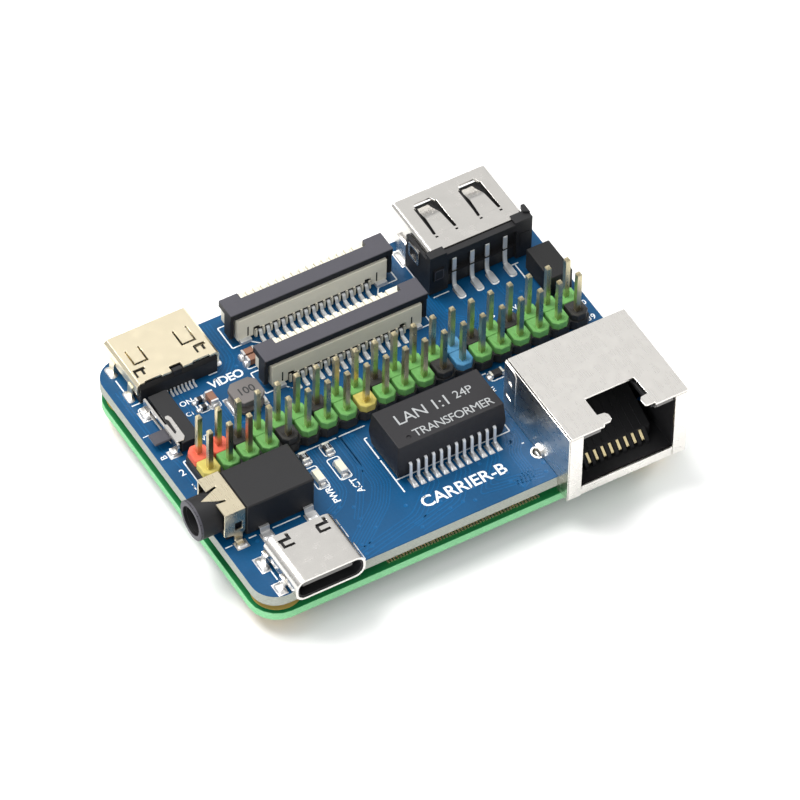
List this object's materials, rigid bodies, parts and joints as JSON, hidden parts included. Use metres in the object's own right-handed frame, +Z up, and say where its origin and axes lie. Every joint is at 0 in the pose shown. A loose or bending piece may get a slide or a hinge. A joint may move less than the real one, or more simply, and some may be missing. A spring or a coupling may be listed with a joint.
{
  "type": "single board computer",
  "caption": "Small computer made of a compute module plugged under a carrier board with network, USB, video and audio ports, flat-cable connectors and a pin header.",
  "frame": {"origin": "middle of the whole outline, ports included, on the plane of the processor lid that the computer rests on", "axes": "+Z up, out of the carrier board's populated face; +Y towards the edge with the USB-A port; +X towards the edge beside the network jack"},
  "size_m": [0.0574, 0.0426, 0.0153],
  "materials": {
    "carrier_mask": "blue solder mask over copper, slightly glossy",
    "module_mask": "green solder mask, slightly glossy",
    "black_plastic": "black moulded plastic, fine matt grain",
    "dark_slider": "dark grey moulded plastic, matt",
    "beige_plastic": "beige moulded plastic, satin",
    "bright_steel": "tin-plated steel sheet, fine rolled grain",
    "gold_shell": "gold-flashed sheet, satin",
    "contact_gold": "gold-plated contact wire, bright",
    "tin": "tinned copper lead",
    "black_epoxy": "black moulding compound, matt",
    "ferrite": "dark grey pressed ferrite, matt",
    "cap_brown": "brown ceramic with tinned ends",
    "chip_white": "white ceramic body with tinned ends",
    "lid_nickel": "nickel-plated copper lid, satin",
    "header_plastic": "black moulding with coloured cells, mostly green, and gold pins"
  },
  "bodies": {
    "computer": {"carrier_board": "carrier_mask", "module_board": "module_mask", "processor_package": "module_mask", "module_receptacle_front": "black_plastic", "module_receptacle_rear": "black_plastic", "carrier_plug_front": "black_plastic", "carrier_plug_rear": "black_plastic", "network_jack_insert": "black_plastic", "usb_a_housing": "black_plastic", "usb_c_tongue": "black_plastic", "video_insert": "black_plastic", "boot_switch_body": "black_plastic", "audio_jack_body": "black_plastic", "fan_connector": "black_plastic", "fpc_rear_housing": "beige_plastic", "fpc_front_housing": "beige_plastic", "network_jack_shell": "bright_steel", "usb_a_shell": "bright_steel", "usb_c_shell": "bright_steel", "boot_switch_cover": "bright_steel", "boot_switch_spring": "bright_steel", "radio_shield": "bright_steel", "crystal": "bright_steel", "video_shell": "gold_shell", "audio_jack_clip": "gold_shell", "network_jack_contacts": "contact_gold", "antenna_socket": "contact_gold", "usb_a_lead_1": "tin", "usb_a_lead_2": "tin", "usb_a_lead_3": "tin", "usb_a_lead_4": "tin", "audio_jack_tab_front": "tin", "audio_jack_tab_far": "tin", "lan_transformer": "black_epoxy", "memory_chip": "black_epoxy", "storage_chip": "black_epoxy", "power_manager_chip": "black_epoxy", "ethernet_chip": "black_epoxy", "power_inductor": "ferrite", "module_inductor_1": "ferrite", "module_inductor_2": "ferrite", "module_inductor_3": "ferrite", "chip_capacitor_1": "cap_brown", "chip_capacitor_2": "cap_brown", "chip_capacitor_3": "cap_brown", "chip_resistor_1": "chip_white", "chip_resistor_2": "chip_white", "chip_resistor_3": "chip_white", "power_led": "chip_white", "power_led_resistor": "chip_white", "activity_led": "chip_white", "activity_led_resistor": "chip_white", "processor_lid": "lid_nickel", "gpio_header": "header_plastic"},
    "boot_switch_knob": {"boot_switch_knob": "dark_slider"},
    "fpc_front_slider": {"fpc_front_slider": "dark_slider"},
    "fpc_rear_slider": {"fpc_rear_slider": "dark_slider"}
  },
  "joints": [
    {"name": "boot_switch_slide", "type": "slide", "parent": "computer", "child": "boot_switch_knob", "axis": [0, 1, 0], "range_m": [0, 0.002]},
    {"name": "fpc_front_slider_lift", "type": "slide", "parent": "computer", "child": "fpc_front_slider", "axis": [0, 0, 1], "range_m": [0, 0.0012]},
    {"name": "fpc_rear_slider_lift", "type": "slide", "parent": "computer", "child": "fpc_rear_slider", "axis": [0, 0, 1], "range_m": [0, 0.0012]}
  ]
}
